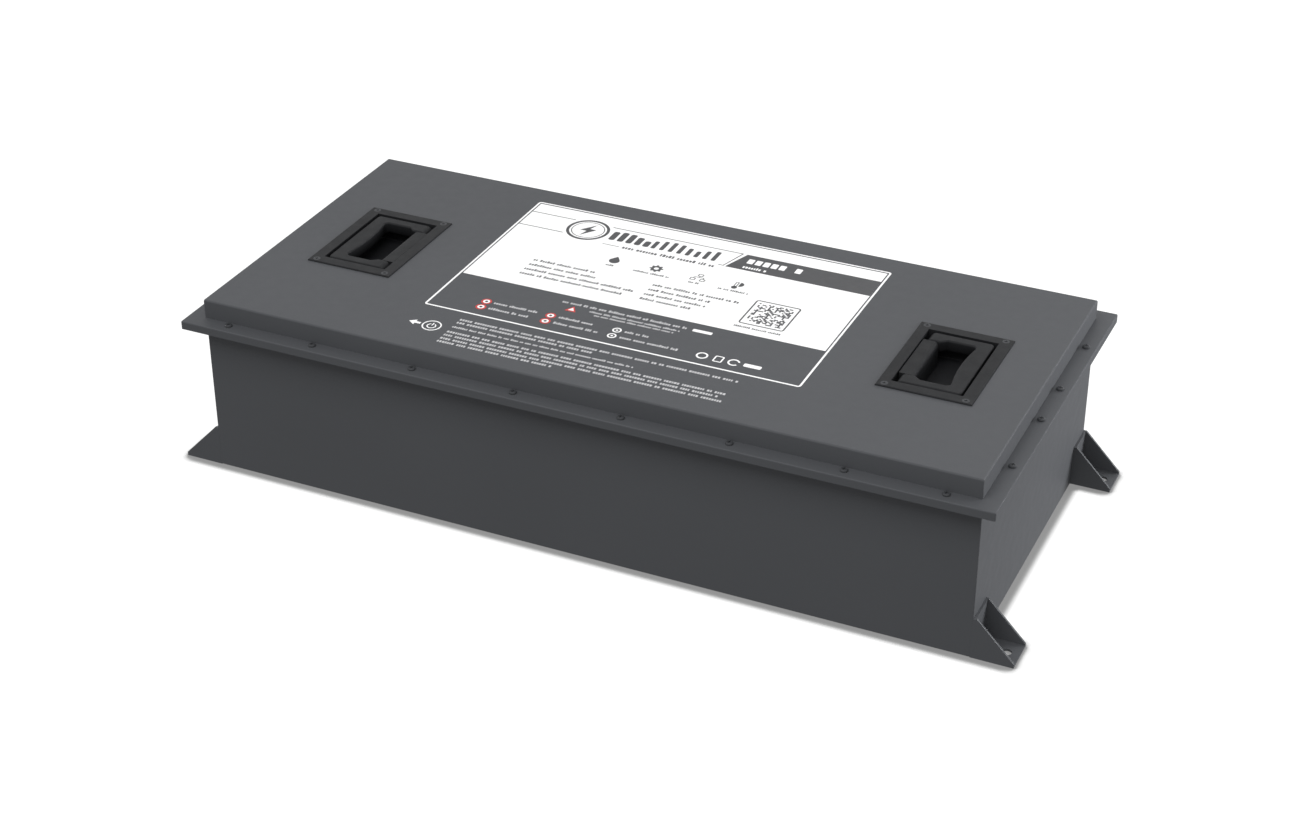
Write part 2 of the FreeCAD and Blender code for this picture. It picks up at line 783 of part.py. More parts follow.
def data_socket():
    """Round panel socket for the data lead, with an open mouth."""
    out = (-1, 0, 0)
    face_x = end_wall_x - socket_barrel_proud
    flange = rod(socket_flange_radius, end_wall_x, socket_y, port_z, socket_flange, out)
    flange = round_face(flange, socket_flange_edge, end_wall_x - socket_flange)
    barrel = rod(socket_barrel_radius, end_wall_x + socket_barrel_depth, socket_y, port_z,
                 socket_barrel_depth + socket_barrel_proud, out)
    socket = flange.fuse(round_face(barrel, socket_barrel_edge, face_x))
    return socket.cut(rod(socket_mouth_radius, face_x + socket_mouth_depth, socket_y, port_z,
                          socket_mouth_depth + over, out))


def lead(points, bend):
    """A round cable along straight runs joined by tangent arcs."""
    edges = []
    start = points[0]
    for a, b, c in zip(points, points[1:], points[2:]):
        into = (b - a).normalize()
        away = (c - b).normalize()
        half_turn = into.getAngle(away) / 2
        setback = bend * math.tan(half_turn)
        p = b - into * setback
        q = b + away * setback
        inward = (away - into).normalize()
        middle = b + inward * (bend / math.cos(half_turn) - bend)
        edges.append(Part.makeLine(start, p))
        edges.append(Part.Arc(p, middle, q).toShape())
        start = q
    edges.append(Part.makeLine(start, points[-1]))
    path = Part.Wire(edges)
    ring = Part.Wire([Part.Circle(points[0], points[1] - points[0], cable_radius).toShape()])
    return path.makePipeShell([ring], True, False)


def flat_lug(x, y, z, radius, reach):
    """A ring lug lying flat, whose barrel points along +X or -X by the sign of reach."""
    end = x + reach
    y0, y1 = y - lug_half_width, y + lug_half_width
    xs = sorted((x, end))
    piece = rod(lug_eye_radius, x, y, z, lug).fuse(block(xs[0], xs[1], y0, y1, z, z + lug))
    xs = sorted((end - math.copysign(lug_barrel, reach), end))
    piece = piece.fuse(block(xs[0], xs[1], y0, y1, z, z + lug_barrel_height))
    return piece.cut(rod(radius, x, y, z - over, lug + 2 * over))


def wall_lug(y):
    """A ring lug on a terminal stud, whose barrel hangs down."""
    x = inner_wall_x + washer + terminal_nut_height
    y0, y1 = y - lug_half_width, y + lug_half_width
    drop, low = (port_z - fall for fall in wall_lug_drop)
    piece = rod(wall_lug_radius, x, y, port_z, lug, (1, 0, 0))
    piece = piece.fuse(block(x, x + lug, y0, y1, drop, port_z))
    piece = piece.fuse(block(x, x + wall_lug_depth, y0, y1, low, drop))
    return piece.cut(rod(terminal_body_radius + loose_gap, x - over, y, port_z, lug + 2 * over,
                         (1, 0, 0)))


def power_cables():
    """Leads from the end cells to the fuse and the board, and from those to the terminals.

    Each lead runs a little way into the barrel of the lug at either end.
    """
    x = cell_centre_x(0)
    y = row_y - pad_offset
    cell_end = x - lug_reach + lead_in
    above_cells = pad_top + cable_above
    stud_x = inner_wall_x + washer + terminal_nut_height + cable_above
    stud_end = port_z - wall_lug_drop[1] + lead_in
    fuse_top = fuse_base_top + fuse_link
    above_fuse = fuse_top + cable_above
    above_board = bms_top + cable_above
    barrel = lug_reach - lead_in
    minus_y, plus_y = terminal_y
    to_fuse = [vec(cell_end, y, above_cells), vec(bay_drop_x, y, above_cells),
               vec(bay_drop_x, fuse_y[0], fuse_lead_turn_z), vec(bay_drop_x, fuse_y[0], above_fuse),
               vec(fuse_x + barrel, fuse_y[0], above_fuse)]
    from_fuse = [vec(fuse_x - barrel, fuse_y[1], above_fuse), vec(stud_x, fuse_y[1], above_fuse),
                 vec(stud_x, plus_y, plus_lead_turn_z), vec(stud_x, plus_y, stud_end)]
    to_board = [vec(cell_end, -y, above_cells), vec(bay_drop_x, -y, above_cells),
                vec(bay_drop_x, -y, above_board), vec(bms_in[0] + barrel, -y, above_board)]
    from_board = [vec(bms_out[0] - short_lug_reach + lead_in, bms_out[1], above_board),
                  vec(stud_x, bms_out[1], above_board), vec(stud_x, minus_y, minus_lead_turn_z),
                  vec(stud_x, minus_y, stud_end)]
    m6, m8 = lug_hole_radius, fuse_stud_radius + loose_gap
    return [
        lead(to_fuse, fuse_lead_bend).fuse([flat_lug(x, y, pad_top, m6, -lug_reach),
                                            flat_lug(fuse_x, fuse_y[0], fuse_top, m8, lug_reach)]),
        lead(from_fuse, wall_lead_bend).fuse([flat_lug(fuse_x, fuse_y[1], fuse_top, m8, -lug_reach),
                                              wall_lug(plus_y)]),
        lead(to_board, board_lead_bend).fuse([flat_lug(x, -y, pad_top, m6, -lug_reach),
                                              flat_lug(*bms_in, bms_top, m6, lug_reach)]),
        lead(from_board, wall_lead_bend).fuse([flat_lug(*bms_out, bms_top, m6, -short_lug_reach),
                                               wall_lug(minus_y)]),
    ]


def handle_nodes():
    """Both handles, from the one on the +X side."""
    for name, shape in (("handle_dish", handle_dish()), ("handle_bail", handle_bail())):
        for side, copy in both_ends(shape).items():
            save(name + "_" + side, copy)
    save("handle_pins", list(both_ends(handle_pin()).values()))
    places = handle_screw_places(1) + handle_screw_places(-1)
    save("handle_screws", [flush_screw(x, y, plate_top) for x, y in places])
    save("handle_nuts", [handle_nut(x, y) for x, y in places])


def foot_nodes():
    """Four feet, flush with the front and back faces and cut to the case's corners."""
    case = case_body()
    for side, shape in both_ends(foot()).items():
        for end, sign in (("front", -1), ("back", 1)):
            copy = shape.copy()
            copy.translate(vec(0, sign * (case_width - foot_width) / 2, 0))
            save("foot_" + end + "_" + side, copy.cut(case))


def cell_nodes():
    """Twenty-four cells, numbered from the left along the front row and then the back row."""
    model = cell(0, 0)
    number = 1
    for row in (-1, 1):
        for k in range(cells_per_row):
            copy = model.copy()
            copy.translate(vec(cell_centre_x(k), row * row_y, 0))
            save("cell_%02d" % number, copy)
            number += 1


os.makedirs("parts", exist_ok=True)
save("case_tub", case_tub())
save("cover", cover())
save("cover_gasket", cover_gasket())
save("cover_screws", [pan_screw(x, y, flange_top, cover_screw_length) for x, y in screw_places()])
save("clinch_nuts", [clinch_nut(x, y) for x, y in screw_places()])
foot_nodes()
handle_nodes()
cell_nodes()
save("cell_spacers", cell_spacers())
save("end_plates", end_plates())
save("tie_straps", tie_straps())
save("base_mat", base_mat())
save("busbars", busbars())
save("power_bolts", power_bolts())
save("bms_case", bms_case())
save("bms_board", bms_board())
save("main_fuse", main_fuse())
save("fuse_nuts", fuse_nuts())
save("power_cables", power_cables())
for label, y in zip(("negative", "positive"), terminal_y):
    save("terminal_" + label, terminal_post(y))
save("terminal_insulators", terminal_insulators())
save("terminal_nuts", terminal_nuts())
save("power_button_housing", power_button_housing())
save("power_button_cap", power_button_cap())
save("power_button_nut", power_button_nut())
save("data_socket", data_socket())
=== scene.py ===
import json
import math
import random

import bpy
from mathutils import Euler, Matrix, Vector


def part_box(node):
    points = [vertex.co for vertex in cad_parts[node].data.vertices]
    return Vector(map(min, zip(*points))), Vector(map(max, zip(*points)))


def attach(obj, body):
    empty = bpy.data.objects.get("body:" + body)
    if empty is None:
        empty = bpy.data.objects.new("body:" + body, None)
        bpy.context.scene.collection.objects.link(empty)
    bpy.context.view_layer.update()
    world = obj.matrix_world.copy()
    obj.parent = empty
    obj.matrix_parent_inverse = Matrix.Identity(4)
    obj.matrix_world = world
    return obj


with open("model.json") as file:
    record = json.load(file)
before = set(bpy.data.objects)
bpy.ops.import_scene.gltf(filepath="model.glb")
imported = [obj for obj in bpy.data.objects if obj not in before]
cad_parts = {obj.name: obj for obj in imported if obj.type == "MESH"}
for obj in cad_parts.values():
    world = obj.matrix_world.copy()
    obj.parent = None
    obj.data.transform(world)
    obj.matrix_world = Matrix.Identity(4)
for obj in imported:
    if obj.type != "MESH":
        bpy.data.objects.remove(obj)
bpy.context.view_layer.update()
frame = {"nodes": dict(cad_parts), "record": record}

# A low battery pack in a dark grey powder-coated case. The printing on its lid is built
# here as thin layers of ink; its words are plain bars and its signs are generic.
# Sizes of the object's pieces are in millimetres until they reach a mesh. Those of the
# floor, the lights and the camera are in metres.
MM = 0.001
ROOT = "case"

# One layer of ink, and the gap under it that keeps its underside off the coat
INK = 0.04
INK_LIFT = 0.01
ARC_STEPS = 10
BAR_ROUND = 0.3
LEAST_ROUND = 0.2

# Stand-in text, as shares of a line's height, and how many letters a word has
LETTER_WIDTH = (0.42, 0.72)
LETTER_GAP = 0.24
LETTER_ROOM = 0.7
WORD_GAP = 0.7
TALL_RISE = 0.34
TALL_SHARE = 0.3
WORD_LETTERS = (2, 9)

# How far the tub's rim stands out from its wall, how deep the data socket's mouth is,
# and how far above its terminal a plus or minus lies
RIM_REACH = 13.0
SOCKET_DEPTH = 9.0
SIGN_RISE = 31.0

# The floor and the sky
FLOOR_HALF = 8.0
FLOOR_DROP = 0.0002
FLOOR_PALE = 0.1
FLOOR_GLOW = 1.0
# Painted contact shadow: the floor's glow drops to the first value within the reach, over this
# range of ambient occlusion
PAINTED_SHADOW_GLOW = 0.22
PAINTED_SHADOW_REACH = 0.0125
PAINTED_SHADOW_AO_RANGE = (0.78, 0.98)
SKY = 0.61
BELOW_HORIZON = 0.27
HORIZON_BLUR = 0.05

# Each light's name, its place, its target, its size and its watts
LIGHTS = (
    ("front_light", (0.0, -1.59, 2.54), (0.0, 0.0, 0.1), (2.4, 1.6), 51.0),
    ("back_light", (0.0, 2.4, 1.2), (0.0, 0.0, 0.1), (2.0, 1.0), 20.0),
    ("right_light", (1.6, 0.9, 0.35), (0.38, 0.0, 0.08), (1.0, 0.6), 39.0),
    ("left_light", (-2.3, 0.2, 0.25), (-0.38, 0.0, 0.08), (1.4, 0.45), 32.0),
)

# The camera's angles are in degrees, and its lens and film width in millimetres
BEARING = 24.54
DIP = 30.51
LENS = 66.93
FILM_WIDTH = 36.0
CAMERA_PLACE = (0.8163, -1.7892, 1.2235)
FARTHEST = 50.0


def middle(node):
    low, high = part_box(node)
    return tuple((a + b) / 2 for a, b in zip(low, high))


# ---------------------------------------------------------------- materials

def new_material(name, color, roughness, metallic=0.0):
    mat = bpy.data.materials.new(name)
    mat.use_nodes = True
    shader = mat.node_tree.nodes["Principled BSDF"]
    shader.inputs["Base Color"].default_value = (*color, 1.0)
    shader.inputs["Roughness"].default_value = roughness
    shader.inputs["Metallic"].default_value = metallic
    return mat, shader


def object_coords(mat, stretch=(1.0, 1.0, 1.0)):
    """Metres in the part's own frame, stretched along each axis."""
    nodes, links = mat.node_tree.nodes, mat.node_tree.links
    coords = nodes.new("ShaderNodeTexCoord")
    mapping = nodes.new("ShaderNodeMapping")
    mapping.inputs["Scale"].default_value = stretch
    links.new(coords.outputs["Object"], mapping.inputs["Vector"])
    return mapping.outputs["Vector"]


def noise(mat, coords, scale, detail=3.0, rough=0.55):
    nodes, links = mat.node_tree.nodes, mat.node_tree.links
    node = nodes.new("ShaderNodeTexNoise")
    node.inputs["Scale"].default_value = scale
    node.inputs["Detail"].default_value = detail
    node.inputs["Roughness"].default_value = rough
    links.new(coords, node.inputs["Vector"])
    return node.outputs["Fac"]


def cells(mat, coords, scale):
    nodes, links = mat.node_tree.nodes, mat.node_tree.links
    node = nodes.new("ShaderNodeTexVoronoi")
    node.inputs["Scale"].default_value = scale
    links.new(coords, node.inputs["Vector"])
    return node.outputs["Distance"]


def spread(mat, value, low, high, start=0.3, end=0.7):
    """A value between start and end mapped to numbers between low and high."""
    nodes, links = mat.node_tree.nodes, mat.node_tree.links
    node = nodes.new("ShaderNodeMapRange")
    node.inputs["From Min"].default_value = start
    node.inputs["From Max"].default_value = end
    node.inputs["To Min"].default_value = low
    node.inputs["To Max"].default_value = high
    links.new(value, node.inputs["Value"])
    return node.outputs["Result"]


def tint(mat, value, dark, light, start=0.3, end=0.7):
    """A colour ramp between two colours."""
    nodes, links = mat.node_tree.nodes, mat.node_tree.links
    node = nodes.new("ShaderNodeValToRGB")
    ramp = node.color_ramp.elements
    ramp[0].position, ramp[1].position = start, end
    ramp[0].color, ramp[1].color = (*dark, 1.0), (*light, 1.0)
    links.new(value, node.inputs["Fac"])
    return node.outputs["Color"]


def bump(mat, shader, height, depth_mm, strength=1.0, under=None):
    nodes, links = mat.node_tree.nodes, mat.node_tree.links
    node = nodes.new("ShaderNodeBump")
    node.inputs["Strength"].default_value = strength
    node.inputs["Distance"].default_value = depth_mm * MM
    links.new(height, node.inputs["Height"])
    if under is not None:
        links.new(under, node.inputs["Normal"])
    links.new(node.outputs["Normal"], shader.inputs["Normal"])
    return node.outputs["Normal"]


def shade(color, factor):
    return tuple(min(1.0, c * factor) for c in color)


def powder_coat(name, color, roughness=0.5):
    """Baked powder: a fine pebbled skin with slow waves and a little drift in gloss and tone."""
    mat, shader = new_material(name, color, roughness)
    links = mat.node_tree.links
    coords = object_coords(mat)
    slow = noise(mat, coords, 5.0, 4.0)
    grain = noise(mat, coords, 750.0, 2.0)
    tone = tint(mat, slow, shade(color, 0.975), shade(color, 1.025))
    links.new(tone, shader.inputs["Base Color"])
    links.new(spread(mat, noise(mat, coords, 90.0, 3.0), roughness - 0.03, roughness + 0.03),
              shader.inputs["Roughness"])
    waves = bump(mat, shader, noise(mat, coords, 220.0, 2.0), 0.03, 0.3)
    bump(mat, shader, grain, 0.09, 0.8, under=waves)
    shader.inputs["Specular IOR Level"].default_value = 0.3
    return mat


def moulded_plastic(name, color, roughness=0.5, grain_scale=900.0):
    """Spark-eroded mould texture with a faint sheen that drifts."""
    mat, shader = new_material(name, color, roughness)
    links = mat.node_tree.links
    coords = object_coords(mat)
    links.new(tint(mat, noise(mat, coords, 25.0), shade(color, 0.9), shade(color, 1.1)),
              shader.inputs["Base Color"])
    links.new(spread(mat, noise(mat, coords, 80.0), roughness - 0.07, roughness + 0.07),
              shader.inputs["Roughness"])
    bump(mat, shader, cells(mat, coords, grain_scale), 0.06, 0.4)
    shader.inputs["Specular IOR Level"].default_value = 0.25
    return mat


def metal(name, color, roughness, stretch=(1.0, 1.0, 1.0), scale=400.0):
    """Metal with fine marks, drawn out along an axis where stretch is small."""
    mat, shader = new_material(name, color, roughness, 1.0)
    links = mat.node_tree.links
    coords = object_coords(mat, stretch)
    marks = noise(mat, coords, scale, 4.0)
    links.new(tint(mat, marks, shade(color, 0.85), shade(color, 1.1)), shader.inputs["Base Color"])
    links.new(spread(mat, marks, roughness - 0.08, roughness + 0.1), shader.inputs["Roughness"])
    bump(mat, shader, marks, 0.03, 0.3)
    return mat


def turned_metal(node, color, roughness):
    """Metal with fine rings round the X axis of one node, left by turning."""
    mat, shader = new_material(node + "_metal", color, roughness, 1.0)
    nodes, links = mat.node_tree.nodes, mat.node_tree.links
    _, y, z = middle(node)
    coords = nodes.new("ShaderNodeTexCoord")
    centred = nodes.new("ShaderNodeMapping")
    centred.inputs["Location"].default_value = (0.0, -y, -z)
    centred.inputs["Scale"].default_value = (0.0, 1.0, 1.0)
    links.new(coords.outputs["Object"], centred.inputs["Vector"])
    reach = nodes.new("ShaderNodeVectorMath")
    reach.operation = "LENGTH"
    links.new(centred.outputs["Vector"], reach.inputs[0])
    along = nodes.new("ShaderNodeCombineXYZ")
    links.new(reach.outputs["Value"], along.inputs["X"])
    rings = noise(mat, along.outputs["Vector"], 2600.0, 3.0)
    smudge = noise(mat, object_coords(mat), 160.0)
    links.new(tint(mat, smudge, shade(color, 0.9), shade(color, 1.04)), shader.inputs["Base Color"])
    links.new(spread(mat, rings, roughness - 0.05, roughness + 0.08), shader.inputs["Roughness"])
    bump(mat, shader, rings, 0.02, 0.35)
    return mat


def soft_rubber(name, color):
    """Foam with open pores, with painted shade in their hollows."""
    mat, shader = new_material(name, color, 0.85)
    links = mat.node_tree.links
    coords = object_coords(mat)
    pores = cells(mat, coords, 260.0)
    # Painted shade: each pore is darker towards its middle, where the bump sinks deepest
    links.new(tint(mat, pores, shade(color, 0.6), shade(color, 1.2), 0.0, 0.6),
              shader.inputs["Base Color"])
    bump(mat, shader, pores, 0.2, 0.5)
    return mat


def printed_ink(name, color, roughness=0.42):
    """Screen-printed ink: it follows the coat's grain and varies a little in weight."""
    mat, shader = new_material(name, color, roughness)
    links = mat.node_tree.links
    coords = object_coords(mat)
    links.new(tint(mat, noise(mat, coords, 300.0, 4.0), shade(color, 0.98), shade(color, 1.01)),
              shader.inputs["Base Color"])
    links.new(spread(mat, noise(mat, coords, 90.0), roughness - 0.05, roughness + 0.08),
              shader.inputs["Roughness"])
    bump(mat, shader, noise(mat, coords, 750.0, 2.0), 0.04, 0.4)
    shader.inputs["Specular IOR Level"].default_value = 0.3
    return mat


def plastic_with_painted_depth_shade(name, dark, deep_mm):
    """The handle's plastic with painted shade: darker the deeper it lies below the lid's highest
    face.
    """
    mat = moulded_plastic(name, PLASTIC_BLACK, 0.46)
    nodes, links = mat.node_tree.nodes, mat.node_tree.links
    shader = nodes["Principled BSDF"]
    grain = shader.inputs["Base Color"].links[0].from_socket
    coords = nodes.new("ShaderNodeTexCoord")
    split = nodes.new("ShaderNodeSeparateXYZ")
    links.new(coords.outputs["Object"], split.inputs["Vector"])
    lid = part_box("cover")[1][2]
    # Painted shade: the colour is scaled down with depth below the lid, standing in for the shade
    # in the handle's recess
    painted_shade_by_height = spread(mat, split.outputs["Z"], dark, 1.0, lid - deep_mm * MM, lid)
    painted_shade_scale = nodes.new("ShaderNodeVectorMath")
    painted_shade_scale.operation = "SCALE"
    links.new(grain, painted_shade_scale.inputs[0])
    links.new(painted_shade_by_height, painted_shade_scale.inputs["Scale"])
    links.new(painted_shade_scale.outputs["Vector"], shader.inputs["Base Color"])
    return mat


def insulator_plastic():
    """Moulded plastic, red round the positive terminal and black elsewhere."""
    mat = moulded_plastic("insulator", (0.03, 0.03, 0.032), 0.45)
    nodes, links = mat.node_tree.nodes, mat.node_tree.links
    shader = nodes["Principled BSDF"]
    coords = nodes.new("ShaderNodeTexCoord")
    split = nodes.new("ShaderNodeSeparateXYZ")
    links.new(coords.outputs["Object"], split.inputs["Vector"])
    between = (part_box("terminal_negative")[1][1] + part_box("terminal_positive")[0][1]) / 2
    side = spread(mat, split.outputs["Y"], 0.0, 1.0, between, between + MM)
    mix = nodes.new("ShaderNodeMix")
    mix.data_type = "RGBA"
    links.new(side, mix.inputs["Factor"])
    links.new(tint(mat, noise(mat, object_coords(mat), 30.0), (0.025, 0.025, 0.027),
                   (0.035, 0.035, 0.037)), mix.inputs["A"])
    links.new(tint(mat, noise(mat, object_coords(mat), 30.0), (0.36, 0.02, 0.015),
                   (0.42, 0.03, 0.02)), mix.inputs["B"])
    links.new(mix.outputs["Result"], shader.inputs["Base Color"])
    return mat


def circuit_board():
    """Green solder mask with fine tracks in it."""
    mat, shader = new_material("circuit_board", (0.02, 0.12, 0.04), 0.35)
    links = mat.node_tree.links
    tracks = cells(mat, object_coords(mat, (1.0, 0.3, 1.0)), 350.0)
    links.new(tint(mat, tracks, (0.03, 0.18, 0.06), (0.015, 0.09, 0.03), 0.3, 0.5),
              shader.inputs["Base Color"])
    bump(mat, shader, tracks, 0.03, 0.3)
    return mat


CASE_GREY = (0.0715, 0.0745, 0.0805)
PLASTIC_BLACK = (0.0155, 0.016, 0.0175)
# Painted shade on a handle's plastic: the share of its colour that it keeps, and how many
# millimetres down
DISH_PAINTED_SHADE = (0.95, 14.0)
BAIL_PAINTED_SHADE = (0.4, 8.0)
BRASS = (0.95, 0.72, 0.38)
NICKEL = (0.85, 0.85, 0.87)
TURNED = (("terminal_negative", BRASS, 0.27), ("terminal_positive", BRASS, 0.27),
          ("power_button_housing", NICKEL, 0.25), ("power_button_cap", shade(NICKEL, 0.8), 0.33))


def slot_materials():
    """A material for every slot of the record whose nodes share one look."""
    return {
        "case_paint": powder_coat("case_paint", CASE_GREY),
        "black_screw": powder_coat("black_screw", (0.046, 0.048, 0.052), 0.4),
        "zinc_steel": metal("zinc_steel", (0.62, 0.63, 0.65), 0.32),
        "foam": soft_rubber("foam", (0.03, 0.03, 0.032)),
        "insulator": insulator_plastic(),
        "aluminium": metal("aluminium", (0.75, 0.76, 0.77), 0.36, (0.05, 1.0, 1.0), 900.0),
        "copper": metal("copper", (0.82, 0.42, 0.27), 0.3, (0.06, 1.0, 1.0), 900.0),
        "circuit_board": circuit_board(),
        "fuse_body": moulded_plastic("fuse_body", (0.1, 0.1, 0.11), 0.5),
        "cable_sheath": moulded_plastic("cable_sheath", (0.6, 0.13, 0.02), 0.5, 500.0),
        "cell_film": moulded_plastic("cell_film", (0.03, 0.12, 0.42), 0.3, 200.0),
    }


def node_materials():
    """Materials of single nodes, laid out from where each node lies."""
    made = {node: turned_metal(node, color, roughness) for node, color, roughness in TURNED}
    # The dish and the bail take painted shade, darker the deeper they lie below the lid
    dish = plastic_with_painted_depth_shade("dish_painted_shade_plastic", *DISH_PAINTED_SHADE)
    bail = plastic_with_painted_depth_shade("bail_painted_shade_plastic", *BAIL_PAINTED_SHADE)
    for side in ("left", "right"):
        made["handle_dish_" + side] = dish
        made["handle_bail_" + side] = bail
    return made


def dress_cad_nodes():
    """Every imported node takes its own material, or else that of its slot in the record."""
    own, shared = node_materials(), slot_materials()
    for entry in frame["record"]["subparts"]:
        node, slot = entry["node"], entry["material_slot"]
        piece = frame["nodes"][node]
        piece.data.materials.clear()
        piece.data.materials.append(own[node] if node in own else shared[slot])


# ---------------------------------------------------------------- flat shapes, in mm

def arc(cx, cy, radius, start, end, steps=ARC_STEPS):
    """Points along an arc, angles in degrees."""
    turns = [math.radians(start + (end - start) * k / steps) for k in range(steps + 1)]
    return [(cx + radius * math.cos(t), cy + radius * math.sin(t)) for t in turns]


def circle(cx, cy, radius, steps=32):
    return arc(cx, cy, radius, 0, 360 - 360 / steps, steps - 1)


def rounded(x0, x1, y0, y1, radius, steps=5):
    """A rectangle with rounded corners."""
    return (arc(x1 - radius, y1 - radius, radius, 0, 90, steps)
            + arc(x0 + radius, y1 - radius, radius, 90, 180, steps)
            + arc(x0 + radius, y0 + radius, radius, 180, 270, steps)
            + arc(x1 - radius, y0 + radius, radius, 270, 360, steps))


def stroke(p, q, width):
    """A straight line with square ends."""
    run = Vector(q) - Vector(p)
    side = Vector((-run.y, run.x)).normalized() * width / 2
    return [tuple(Vector(p) - side), tuple(Vector(q) - side),
            tuple(Vector(q) + side), tuple(Vector(p) + side)]


class Ink:
    """Collects flat shapes of one ink and layer, and makes them one thin closed mesh."""

    def __init__(self, name, material, layer, place, body=ROOT, slot="case_paint"):
        self.name, self.material, self.layer, self.place = name, material, layer, place
        self.body, self.slot = body, slot
        self.verts, self.faces = [], []

    def fill(self, outline):
        """A solid shape from one outline, which runs counter-clockwise."""
        low, high = INK * self.layer + INK_LIFT, INK * (self.layer + 1)
        count, start = len(outline), len(self.verts)
        self.verts += [(x, y, low) for x, y in outline] + [(x, y, high) for x, y in outline]
        self.faces.append([start + k for k in reversed(range(count))])
        self.faces.append([start + count + k for k in range(count)])
        for k in range(count):
            n = (k + 1) % count
            self.faces.append([start + k, start + n, start + count + n, start + count + k])

    def band(self, outer, inner):
        """The closed band between two outlines of the same number of points."""
        low, high = INK * self.layer + INK_LIFT, INK * (self.layer + 1)
        count, start = len(outer), len(self.verts)
        for ring, z in ((outer, low), (outer, high), (inner, low), (inner, high)):
            self.verts += [(x, y, z) for x, y in ring]
        for k in range(count):
            n = (k + 1) % count
            a, b, c, d = start, start + count, start + 2 * count, start + 3 * count
            self.faces.append([a + k, a + n, b + n, b + k])
            self.faces.append([d + k, d + n, c + n, c + k])
            self.faces.append([b + k, b + n, d + n, d + k])
            self.faces.append([c + k, c + n, a + n, a + k])

    def bar(self, x0, x1, y, height, radius=None):
        radius = min(height, x1 - x0) * BAR_ROUND if radius is None else radius
        self.fill(rounded(x0, x1, y - height / 2, y + height / 2, radius, 3))

    def ring(self, cx, cy, radius, width, steps=40):
        self.band(circle(cx, cy, radius, steps), circle(cx, cy, radius - width, steps))

    def frame(self, x0, x1, y0, y1, radius, width):
        inner = max(radius - width, LEAST_ROUND)
        self.band(rounded(x0, x1, y0, y1, radius),
                  rounded(x0 + width, x1 - width, y0 + width, y1 - width, inner))

    def open_ring(self, cx, cy, radius, width, start, end):
        self.fill(arc(cx, cy, radius, start, end, 24) + arc(cx, cy, radius - width, end, start, 24))

    def line(self, p, q, width):
        self.fill(stroke(p, q, width))

    def words(self, x0, x1, y, height, seed, capitals=False):
        """A line of stand-in text: words made of plain blocks the size of letters."""
        draw = random.Random(seed)
        x, left_in_word = x0, draw.randint(*WORD_LETTERS)
        while x + height * LETTER_ROOM < x1:
            width = height * draw.uniform(*LETTER_WIDTH)
            rise = 0.0 if capitals or draw.random() > TALL_SHARE else height * TALL_RISE
            self.box(x, x + width, y - height / 2, y + height / 2 + rise)
            x += width + height * LETTER_GAP
            left_in_word -= 1
            if left_in_word == 0:
                x += height * WORD_GAP
                left_in_word = draw.randint(*WORD_LETTERS)

    def box(self, x0, x1, y0, y1):
        self.fill([(x0, y0), (x1, y0), (x1, y1), (x0, y1)])

    def make(self):
        mesh = bpy.data.meshes.new(self.name)
        mesh.from_pydata([Vector(v) * MM for v in self.verts], [], self.faces)
        mesh.transform(self.place)
        mesh.materials.append(self.material)
        mesh.update()
        piece = bpy.data.objects.new(self.name, mesh)
        bpy.context.collection.objects.link(piece)
        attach(piece, self.body)


# ---------------------------------------------------------------- printing on the lid

# The white panel and the frame round it and the field below: x0, x1, y0, y1
PANEL = (-183.0, 181.0, -23.7, 139.7)
FRAME = (-186.3, 184.3, -93.0, 143.4)
RULE = 1.1
THIN_RULE = 0.8
TEXT_DARK = (0.1, 0.1, 0.105)
INK_DARK = (0.07, 0.071, 0.075)
INK_WHITE = (0.88, 0.88, 0.88)
TEXT_WHITE = (0.5, 0.5, 0.51)
INK_RED = (0.55, 0.05, 0.045)


def print_frame(white):
    white.frame(*FRAME, 3.2, 1.9)
    white.fill(rounded(*PANEL, 0.6, 2))


def header_rules(dark):
    """Hairlines beside the mark and a slanted divider before the band."""
    top, low = 121.3, 91.7
    dark.line((PANEL[0], top), (-135.5, top), RULE)
    dark.line((PANEL[0], low), (-135.5, low), RULE)
    dark.line((-95.0, top), (41.8, top), RULE)
    dark.line((28.5, low), (33.8, low), RULE)
    dark.line((42.0, top + 0.5), (33.4, low - 0.5), RULE)
    dark.fill([(35.9, 90.6), (PANEL[1], 90.6), (PANEL[1], 121.6), (46.4, 121.6)])


def energy_mark(dark):
    """A bolt in a ring."""
    cx, cy = -115.2, 106.2
    dark.ring(cx, cy, 21.5, 3.0, 48)
    dark.ring(cx, cy, 16.6, 0.9, 48)
    dark.fill([(cx - 7.5, cy - 2.2), (cx - 0.6, cy - 2.2), (cx - 3.4, cy - 13.2),
               (cx + 7.8, cy + 2.6), (cx + 1.0, cy + 2.6), (cx + 4.4, cy + 13.2)])


def level_bars(dark):
    """A row of upright bars whose heights rise and fall, with a thin line under them."""
    left, right, base = -89.5, 27.0, 96.0
    count = 13
    pitch = (right - left) / count
    for k in range(count):
        height = 11.5 + 8.5 * abs(math.sin(0.55 * k + 0.9))
        width = pitch * (0.7 if k < 5 else 0.5)
        x = left + k * pitch
        dark.bar(x, x + width, base + height / 2, height, width * 0.35)


def title(band_white):
    """Six bold blocks, one set apart, and a row of small ones on the dark band."""
    left, pitch, width = 51.7, 8.1, 6.1
    for k in (0, 1, 2, 3, 4, 6):
        x = left + k * pitch
        band_white.bar(x, x + width, 109.2, 9.4, 1.0)
    band_white.words(left, 78.0, 96.2, 3.4, 34)


def drop_icon(dark, cx, cy):
    """A falling drop."""
    dark.fill([(cx, cy + 7.2)] + arc(cx, cy - 1.8, 5.2, 155, 385, 18))


